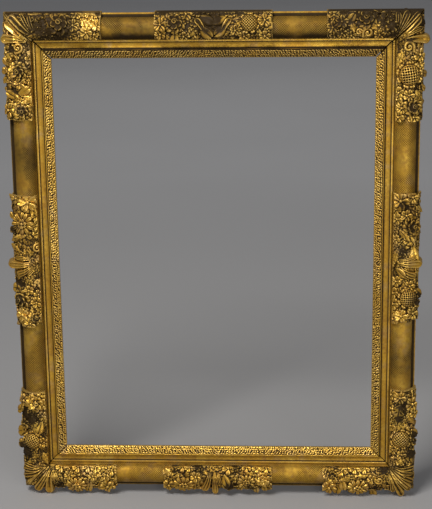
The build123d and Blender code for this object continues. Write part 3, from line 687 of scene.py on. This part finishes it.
def carving_piece(node, spec):
    """One carved piece: its ground, the small growth on it, its flowers and its fluted lobes."""
    side, toward, (low, high), motifs, lobes = spec
    run = SIDES[side][1]
    stops = [end for end in (low, high) if abs(end) < run]
    mitre = toward * (run + 34)
    ridge_low = max(low, mitre) if toward < 0 else low
    ridge_high = min(high, mitre) if toward > 0 else high
    short = 7 if side == "bottom" or (side != "top" and not toward) else 0
    shells = [ground(low + short, high - short), side_ridge(ridge_low, ridge_high)]
    shells += [end_ridge(end + (1.5 if end == low else -1.5)) for end in stops if not short]
    growth = bed(max(low, -run - 72), min(high, run + 72))
    for motif in motifs:
        growth += seated(*motif)
    shells += kept_in(growth, side)
    for band in lobes:
        shells += lobe(*band)
    made = fused("carving_" + node.replace("_carving", ""), shells)
    planes = [((end, 0, 0), (-1 if end == low else 1, 0, 0)) for end in stops]
    planes += [((0, RAIL + REACH, 0), (0, 1, 0)), ((0, 0, TRIM_D), (0, 0, -1))]
    if toward:
        planes.append(((toward * (run - MITRE_GAP), 0, 0), (toward, -1, crack(side, toward) / CRACK_DEPTH)))
    cut(made, planes)
    gilded(made, side)
    to_frame(made, side, node)
    return made


# Rails and sight edges
def rounded(points, radius):
    """Rounds the sharp corners of a closed section."""
    out = []
    pts = [np.array(p, float) for p in points]
    for before, here, after in zip(pts[-1:] + pts[:-1], pts, pts[1:] + pts[:1]):
        a, b = before - here, after - here
        la, lb = np.linalg.norm(a), np.linalg.norm(b)
        bend = np.dot(a, b) / (la * lb)
        if bend < -0.93:
            out.append(here)
            continue
        r = min(radius, 0.4 * la, 0.4 * lb)
        p, q = here + a / la * r, here + b / lb * r
        out += [p, (p + q + 2 * here) / 4, q]
    return np.array(out)


def swept(name, section, side, step, wave):
    """A closed bar of one section, mitred at both ends, with an uneven hand-made surface."""
    run = SIDES[side][1]
    n = int(2 * (run + RAIL / 2) / step)
    t = np.linspace(-1, 1, n)[:, None]
    u, d = section[:, 0][None, :], section[:, 1][None, :]
    opened = np.where(t > 0, crack(side, 1), crack(side, -1)) * unit((d - 4) / 18)
    s = t * (run + u - (MITRE_GAP + opened))
    bump = wave(s, u + 0 * s, d + 0 * s)
    rings = np.stack([s, u + 0 * s, d + bump], -1)
    i = ring_numbers(*rings.shape[:2])
    faces = grid_faces(i).tolist() + [i[0, :-1].tolist(), i[-1, :-1][::-1].tolist()]
    mesh = new_mesh(name, rings.reshape(-1, 3), faces)
    bm = bmesh.new()
    bm.from_mesh(mesh)
    bmesh.ops.recalc_face_normals(bm, faces=bm.faces)
    bm.to_mesh(mesh)
    bm.free()
    return as_object(name, mesh)


def drift(s, u, seed):
    """A slow uneven drift over a surface, from a few sine waves."""
    r = np.random.default_rng(seed)
    total = 0 * s
    for _ in range(7):
        f, g, p = r.uniform(0.01, 0.09), r.uniform(-0.25, 0.25), r.uniform(0, 6.28)
        total = total + np.sin(f * s + g * u + p)
    return total / 7


def rail_section():
    """A rail's section from the rebate round to the back, as u and d."""
    hollow = [(SLIP + 14 * k / 8, BAND_D - 1.6 * math.sin(math.pi * k / 8)) for k in range(9)]
    end = math.asin((TORUS_END - TORUS_U) / TORUS_R * 0.9999)
    leans = np.linspace(-end, end, 60)[1:-1]
    section = [(REBATE_W, BACK_D), (REBATE_W, REBATE_D), (SLIP, REBATE_D)] + hollow
    section += [(BAND, FILLET_D), (TORUS_START, FILLET_D), (TORUS_START, TORUS_FOOT)]
    section += [(TORUS_U + TORUS_R * math.sin(a), TORUS_C + TORUS_R * math.cos(a)) for a in leans]
    section += [(TORUS_END, EDGE_D), (RAIL, EDGE_D), (RAIL, 7.0), (RAIL - 4, BACK_D)]
    return rounded(section, 0.9)


def rail_piece(side):
    """One rail, with what the gilding's material reads from it."""
    seed = 7 + SIDES[side][0]

    def wave(s, u, d):
        return 0.32 * drift(s, u, seed) * unit((d - 8) / 8)

    def near(place, spread):
        return np.exp(-((u - place) ** 2) / spread)

    made = swept(f"gilt_rail_{side}", rail_section(), side, 2.0, wave)
    mesh = made.data
    s, u, d = points_of(mesh).T
    on_torus = (u > TORUS_START) & (u < TORUS_END + 0.1) & (d > TORUS_FOOT - 0.5)
    paint(mesh, along=s, around=TORUS_R * np.arctan2(u - TORUS_U, d - TORUS_C), panel=on_torus)
    # Painted shade in the quirks and grooves, and a painted highlight along the fillets' raised edges; worn
    # sets how dark the quirks are painted
    quirk = near(BAND, 2.0) * (d < FILLET_D - 0.4) + near(TORUS_START, 5.0) * (d < 22)
    quirk += near(SLIP, 4.0) + near(TORUS_END, 9.0) * (d < 20)
    edge = (near(BAND, 1.0) + near(TORUS_START, 1.0)) * (d > FILLET_D - 0.5)
    worn = 0.5 if side == "bottom" else 0.8
    paint(mesh, crest=unit(0.5 + 0.4 * edge - 0.3 * quirk), depth=unit(1 - worn * quirk))
    torus, inner, strip, band, _ = RAIL_DIRT_AND_SHADE[side]
    # Dirt and painted shade on the torus: more on its inner half, which on the top rail is the lower side,
    # painted in shade
    dirt = torus + inner * (unit((TORUS_U - 6 - u) / 14) * on_torus)
    for middle, strength, spread in PATCHES[side]:
        dirt += strength * bell(s - middle, spread)
    dirt = dirt * on_torus + band * (u < TORUS_START) + strip * (u > TORUS_END)
    paint(mesh, dirt=dirt, bole=0.3, bare=(d < 6.5) | (u < SLIP - 0.5))
    smooth_by_angle(mesh)
    to_frame(made, side, f"rail_{side}")
    return made


def smooth_by_angle(mesh):
    """Shades a mesh smooth, apart from its sharp edges."""
    bm = bmesh.new()
    bm.from_mesh(mesh)
    for edge in bm.edges:
        edge.smooth = len(edge.link_faces) == 2 and edge.calc_face_angle(3) < 0.6
    for face in bm.faces:
        face.smooth = True
    bm.to_mesh(mesh)
    bm.free()


def leaf_band(side):
    """Height of the small leaves that crowd a sight edge, in four slanting rows."""
    r = np.random.default_rng(90 + SIDES[side][0])
    run = SIDES[side][1]
    marks = []
    for row, w in enumerate((0.1, 0.31, 0.53, 0.75)):
        for k in np.arange(-run - 14, run + 14, 4.3 + 0.5 * row):
            slant = (1 if k < 0 else -1) * (0.9 - 0.5 * (row % 2)) + r.uniform(-0.5, 0.5)
            place = (k + r.uniform(-1.1, 1.1), w * SLIP + r.uniform(-0.9, 0.9))
            marks.append((*place, r.uniform(2.6, 4.4), r.uniform(1.2, 1.9), slant, r.uniform(0.6, 1.2)))

    def height(s, u, d):
        total = np.full(s.shape, -LEAF_SINK)
        for s0, u0, length, wide, slant, tall in marks:
            near = np.abs(s[:, 0] - s0) < 24
            if not near.any():
                continue
            x, y = s[near] - s0, u[near] - u0
            c, n = math.cos(slant), math.sin(slant)
            a, b = (x * c + y * n) / length, (-x * n + y * c) / wide
            mark = 1.9 * tall * np.sqrt(unit(1 - (a**2 + b**2))) - LEAF_SINK
            total[near] = np.maximum(total[near], mark)
        carved = total * unit((u - 0.3) / 0.8) * unit((LEAF_END - u) / 0.5)
        return (carved - LEAF_SINK * bell(u - LEAF_END - 0.1, 0.5)) * (d > 16.5)

    return height


def sight_line(u):
    """The sight edge's front before it is carved, rising to its outer side."""
    share = unit(u / SLIP)
    return 17.2 + 6.4 * share + 1.3 * np.sin(np.pi * share)


def sight_piece(side):
    """One leaf-carved sight edge, with a smooth fillet at its outer side."""
    front = [(u, sight_line(u)) for u in np.linspace(0.3, 17.7, 30)]
    section = [(0, REBATE_D), (0, 16.8)] + front + [(17.9, 12.1)]
    step = 0.75
    made = swept(f"sight_leaves_{side}", np.array(section), side, step, leaf_band(side))
    mesh = made.data
    _, u, d = points_of(mesh).T
    fillet = u > LEAF_END + 0.5
    # Painted highlight on the leaves' crests, painted shade in their hollows and on the sunk ground between
    # them
    crest = np.where(fillet, 0.5, unit(0.52 + 1.0 * hollows(mesh, 6)))
    depth = np.where(fillet, 0.75, unit((d - sight_line(u) + 1.3) / 1.8))
    paint(mesh, crest=crest, depth=depth, dirt=RAIL_DIRT_AND_SHADE[side][-1], bole=0.15)
    smooth_shaded(mesh)
    to_frame(made, side, f"sight_edge_{side}")
    return made


# Hanging rings
def ring_piece(side):
    """A smooth ring of bent wire where the faceted one hangs."""
    low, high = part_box(f"hanger_ring_{side}")
    x = (low.x + high.x) / 2
    y = (low.y + high.y) / 2
    wire, radius, bend, sides = 0.0016, 0.013, 0.0035, 12
    top = high.z - wire
    bends = [k * math.pi / 12 for k in range(7)]
    loop = [k * math.pi / 36 for k in range(1, 36)]
    points = [(bend - radius, 0)]
    points += [(radius - bend + bend * math.sin(a), bend * (math.cos(a) - 1)) for a in bends]
    points += [(radius * math.cos(a), -bend - radius * math.sin(a)) for a in loop]
    points += [(bend - radius - bend * math.cos(a), bend * (math.sin(a) - 1)) for a in bends[:-1]]
    path = np.array([(x + p, y, top + q) for p, q in points])
    ahead = np.roll(path, -1, 0) - np.roll(path, 1, 0)
    ahead /= np.linalg.norm(ahead, axis=1, keepdims=True)
    over = np.array([0.0, 1.0, 0.0])
    across = np.cross(ahead, over)
    turn = np.linspace(0, 2 * np.pi, sides, endpoint=False)
    c, n = np.cos(turn)[None, :, None], np.sin(turn)[None, :, None]
    rings = path[:, None] + wire * (across[:, None] * c + over * n)
    i = ring_numbers(len(path), sides)
    i = np.concatenate([i, i[:1]], 0)
    mesh = new_mesh(f"wire_ring_{side}", rings.reshape(-1, 3), grid_faces(i).tolist())
    smooth_shaded(mesh)
    made = as_object(f"wire_ring_{side}", mesh)
    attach(made, f"hanger_ring_{side}")
    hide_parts(f"hanger_ring_{side}")
    return made


# Materials
DEEP_GOLD, CLEAR_GOLD = (0.70, 0.375, 0.030), (0.82, 0.50, 0.070)
BROWN_GOLD, CREST_HIGHLIGHT_GOLD = (0.36, 0.185, 0.035), (0.95, 0.64, 0.18)
DULL_GOLD, OCHRE = (0.54, 0.37, 0.20), (0.50, 0.27, 0.035)
BOLE, SHADE_AND_GRIME = (0.24, 0.085, 0.035), (0.019, 0.011, 0.004)
BACK_WOOD_DARK, BACK_WOOD_PALE = (0.17, 0.10, 0.052), (0.36, 0.24, 0.135)
KEY_WOOD_DARK, KEY_WOOD_PALE = (0.13, 0.075, 0.038), (0.33, 0.21, 0.115)
WOOD_STAIN = (0.085, 0.055, 0.035)
FULL_SHADE, HATCH_PITCH = 0.98, 2.3


class Nodes:
    """A short way to write a material's nodes."""

    def __init__(self, name):
        self.material = bpy.data.materials.new(name)
        self.material.use_nodes = True
        self.tree = self.material.node_tree
        self.shader = self.tree.nodes["Principled BSDF"]
        self.place = None

    def feed(self, socket, value):
        """Links a value to a socket, or sets it there where it is a constant."""
        if isinstance(value, bpy.types.NodeSocket):
            self.tree.links.new(value, socket)
        else:
            socket.default_value = (*value, 1.0) if socket.type == "RGBA" else value

    def node(self, kind, inputs, output, **settings):
        """Makes a node from its settings and inputs, and gives one of its outputs."""
        made = self.tree.nodes.new("ShaderNode" + kind)
        for key, value in settings.items():
            setattr(made, key, value)
        for key, value in inputs.items():
            self.feed(made.inputs[key], value)
        return made.outputs[output]

    def where(self):
        if self.place is None:
            self.place = self.node("TexCoord", {}, "Object")
        return self.place

    def noise(self, scale, detail=4.0, rough=0.55, stretch=None):
        place = self.where()
        if stretch:
            place = self.node("Mapping", {"Vector": place, "Scale": stretch}, "Vector")
        inputs = {"Vector": place, "Scale": scale, "Detail": detail, "Roughness": rough}
        return self.node("TexNoise", inputs, "Fac")

    def ramp(self, value, low, high, out_low=0.0, out_high=1.0):
        inputs = {"Value": value, "From Min": low, "From Max": high, "To Min": out_low, "To Max": out_high}
        return self.node("MapRange", inputs, "Result", clamp=True)

    def maths(self, what, a, b):
        return self.node("Math", {0: a, 1: b}, 0, operation=what)

    def plus(self, a, b):
        return self.maths("ADD", a, b)

    def times(self, a, b):
        return self.maths("MULTIPLY", a, b)

    def mix(self, share, a, b):
        """Mixes two colours, by the numbers of the mix node's colour sockets."""
        return self.node("Mix", {0: share, 6: a, 7: b}, 2, data_type="RGBA")

    def value(self, name):
        return self.node("Attribute", {}, "Fac", attribute_name=name, attribute_type="GEOMETRY")

    def bump(self, height, strength, distance):
        inputs = {"Height": height, "Strength": strength, "Distance": distance}
        return self.node("Bump", inputs, "Normal")

    def set(self, **inputs):
        names = {"color": "Base Color", "rough": "Roughness", "metal": "Metallic", "normal": "Normal"}
        for key, value in inputs.items():
            self.feed(self.shader.inputs[names[key]], value)
        return self.material


def gilding(name, hatched):
    """Old water gilding: a painted highlight and bright wear on crests, red bole where rubbed, dark dirt
    and painted shade in hollows and on low ground.
    """
    m = Nodes(name)
    crest, depth, dirt, bole = (m.value(k) for k in ("crest", "depth", "dirt", "bole"))
    patches = m.noise(22.0, 5.0, 0.6)
    spots = m.noise(150.0, 4.0, 0.6)
    fine = m.noise(600.0, 3.0, 0.6)
    gold = m.mix(m.ramp(patches, 0.35, 0.65), DEEP_GOLD, CLEAR_GOLD)
    gold = m.mix(m.ramp(spots, 0.42, 0.70, 0.0, 0.55), gold, BROWN_GOLD)
    # Painted highlight: pale gold on crests, also standing for gilding rubbed bright there
    gold = m.mix(m.ramp(crest, 0.56, 0.85, 0.0, 0.8), gold, CREST_HIGHLIGHT_GOLD)
    gold = m.mix(m.ramp(m.noise(38.0, 3.0, 0.5), 0.54, 0.68, 0.0, 0.42), gold, DULL_GOLD)
    gold = m.mix(m.ramp(m.noise(11.0, 4.0, 0.6), 0.40, 0.62, 0.55, 0.0), gold, OCHRE)
    rubbed = m.times(m.ramp(m.noise(60.0, 4.0, 0.65), 0.52, 0.66), bole)
    gold = m.mix(rubbed, gold, BOLE)
    # Painted shade: darker in hollows and on the low ground between motifs
    shade = m.plus(m.ramp(crest, 0.53, 0.36), m.ramp(depth, 0.62, 0.0, 0.0, 0.58))
    # Dirt and painted shade, gathering in hollows
    grime_and_shade = m.times(dirt, m.ramp(patches, 0.25, 0.70, 0.55, 1.15))
    shade = m.plus(shade, m.times(grime_and_shade, m.ramp(crest, 0.95, 0.45, 0.35, 0.85)))
    shade = m.maths("MINIMUM", shade, FULL_SHADE)
    if hatched:
        along, around, panel = m.value("along"), m.value("around"), m.value("panel")
        lines = None
        for way in (1.0, -1.0):
            phase = m.plus(m.times(along, way), around)
            phase = m.plus(phase, m.ramp(m.noise(14.0), 0.0, 1.0, -2.5, 2.5))
            line = m.ramp(m.maths("PINGPONG", phase, HATCH_PITCH), 0.65, 0.2)
            lines = line if lines is None else m.maths("MAXIMUM", lines, line)
        worn = m.ramp(m.noise(17.0, 3.0, 0.5), 0.40, 0.52)
        lines = m.times(m.times(lines, worn), panel)
        shade = m.plus(shade, m.times(lines, 0.68))
        shade = m.maths("MINIMUM", shade, FULL_SHADE)
    # The gold goes toward near black under painted shade, dirt and hatching, and its metallic share falls
    # with it
    color = m.mix(shade, gold, SHADE_AND_GRIME)
    metal = m.ramp(shade, 0.0, 1.0, 0.78, 0.10)
    polish = (0.36, 0.52) if hatched else (0.27, 0.44)
    rough = m.plus(m.ramp(spots, 0.3, 0.7, *polish), m.times(shade, 0.25))
    height = m.plus(m.times(spots, 0.7), m.times(fine, 0.3))
    if hatched:
        height = m.maths("SUBTRACT", height, m.times(lines, 0.9))
        bare = m.value("bare")
        grain = m.noise(40.0, 6.0, 0.65, (0.25, 1.0, 0.25))
        wood = m.mix(m.ramp(grain, 0.3, 0.7), BACK_WOOD_DARK, BACK_WOOD_PALE)
        color = m.mix(bare, color, wood)
        metal = m.times(metal, m.maths("SUBTRACT", 1.0, bare))
        rough = m.maths("MAXIMUM", rough, m.times(bare, 0.75))
    m.shader.inputs["Specular IOR Level"].default_value = 0.12
    return m.set(color=color, metal=metal, rough=rough, normal=m.bump(height, 0.55, 0.0009))


def old_wood(name):
    """Bare stained wood of the mitre keys."""
    m = Nodes(name)
    grain = m.noise(60.0, 6.0, 0.65, (0.3, 1.0, 1.0))
    stain = m.noise(14.0, 3.0, 0.5)
    color = m.mix(m.ramp(grain, 0.3, 0.7), KEY_WOOD_DARK, KEY_WOOD_PALE)
    color = m.mix(m.ramp(stain, 0.45, 0.7, 0.0, 0.6), color, WOOD_STAIN)
    return m.set(color=color, rough=m.ramp(grain, 0.3, 0.7, 0.62, 0.8), normal=m.bump(grain, 0.5, 0.0006))


def old_metal(name, clean, dull, clean_rough):
    """Metal that is rubbed clean in places and dull between them."""
    m = Nodes(name)
    wear = m.noise(170.0, 5.0, 0.6)
    pits = m.noise(900.0, 3.0, 0.6)
    share = m.ramp(wear, 0.42, 0.62)
    rough = m.ramp(wear, 0.35, 0.65, clean_rough, clean_rough + 0.3)
    color = m.mix(share, clean, dull)
    metal = m.ramp(wear, 0.42, 0.7, 0.95, 0.45)
    return m.set(color=color, metal=metal, rough=rough, normal=m.bump(pits, 0.35, 0.0003))


gilt_carving = gilding("gilt_carving", False)
gilt_rail = gilding("gilt_rail", True)
key_wood = old_wood("key_wood")
iron = old_metal("forged_iron", (0.10, 0.095, 0.09), (0.13, 0.055, 0.03), 0.38)
brass = old_metal("aged_brass", (0.52, 0.37, 0.13), (0.22, 0.15, 0.06), 0.32)

for node_name, spec in CARVINGS.items():
    piece = carving_piece(node_name, spec)
    piece.data.materials.append(gilt_carving)
for side_name in SIDES:
    piece = sight_piece(side_name)
    piece.data.materials.append(gilt_carving)
    piece = rail_piece(side_name)
    piece.data.materials.append(gilt_rail)
for side_name in ("left", "right"):
    ring_piece(side_name).data.materials.append(iron)

for node_name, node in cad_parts.items():
    finish = None
    if node_name.startswith("mitre_key"):
        finish = key_wood
    elif node_name.startswith("turn_button"):
        finish = brass
    elif node_name.startswith(("hanger_strap", "hanger_nails", "button_nails")):
        finish = iron
    if finish:
        node.data.materials.clear()
        node.data.materials.append(finish)


# Floor, light and camera
def floor_material():
    """Pale grey paper with painted light: darker near the frame, lighter towards the far end."""
    m = Nodes("paper")
    place = m.node("SeparateXYZ", {"Vector": m.where()}, "Y")
    # Painted light over the floor: from darker near the frame to lighter far away
    far = m.ramp(place, 0.2, 3.2)
    color = m.mix(far, (0.35, 0.345, 0.345), (0.62, 0.62, 0.63))
    soft = m.noise(0.6, 2.0, 0.5)
    color = m.mix(m.ramp(soft, 0.3, 0.7, 0.0, 0.15), color, (0.38, 0.38, 0.385))
    return m.set(color=color, rough=0.9)


def make_floor():
    """A plain pale floor far larger than the view."""
    size = 30.0
    corners = [(-size, -size, 0), (size, -size, 0), (size, size, 0), (-size, size, 0)]
    mesh = new_mesh("floor", corners, [(0, 1, 2, 3)])
    floor = as_object("floor", mesh)
    mesh.materials.append(floor_material())


def area_light(name, place, target, size, power, color=(1.0, 1.0, 1.0)):
    data = bpy.data.lights.new(name, "AREA")
    data.shape = "RECTANGLE"
    data.size, data.size_y = size
    data.energy = power
    data.color = color
    lamp = as_object(name, data)
    lamp.location = place
    lamp.rotation_mode = "QUATERNION"
    lamp.rotation_quaternion = (Vector(target) - Vector(place)).to_track_quat("-Z", "Y")


def make_world():
    world = bpy.data.worlds.new("studio")
    world.use_nodes = True
    shade = world.node_tree.nodes["Background"]
    shade.inputs["Color"].default_value = (0.60, 0.60, 0.61, 1.0)
    shade.inputs["Strength"].default_value = 0.25
    bpy.context.scene.world = world


def make_camera():
    """Slightly right of the frame's middle and above it, looking down, as in the photograph."""
    data = bpy.data.cameras.new("camera")
    data.sensor_width = 36.0
    data.lens = 106.34
    data.clip_end = 100.0
    place = (0.1556, BACK_Y / 1000 - 2.9466, 1.3118)
    yaw, pitch, roll = (math.radians(a) for a in (3.017, 15.088, 0.743))
    right = Vector((math.cos(yaw), math.sin(yaw), 0))
    ahead = Vector((-math.sin(yaw), math.cos(yaw), 0))
    forward = ahead * math.cos(pitch) - Vector((0, 0, 1)) * math.sin(pitch)
    up = ahead * math.sin(pitch) + Vector((0, 0, 1)) * math.cos(pitch)
    right, up = right * math.cos(roll) - up * math.sin(roll), right * math.sin(roll) + up * math.cos(roll)
    turn = Matrix((right, up, -forward)).transposed()
    camera = as_object("camera", data)
    camera.matrix_world = Matrix.Translation(place) @ turn.to_4x4()
    bpy.context.scene.camera = camera


make_floor()
make_world()
make_camera()
area_light("key", (-0.9, -1.9, 2.9), (0, 0, 0.55), (1.3, 1.0), 94.0, (1.0, 0.98, 0.95))
area_light("fill", (1.2, -3.0, 0.9), (0, 0, 0.3), (1.8, 1.4), 42.0, (0.97, 0.98, 1.0))
area_light("backdrop", (0, 5.0, 3.5), (0, 6.5, 0), (5.0, 2.5), 24.0)
bpy.context.scene.view_settings.view_transform = "Standard"
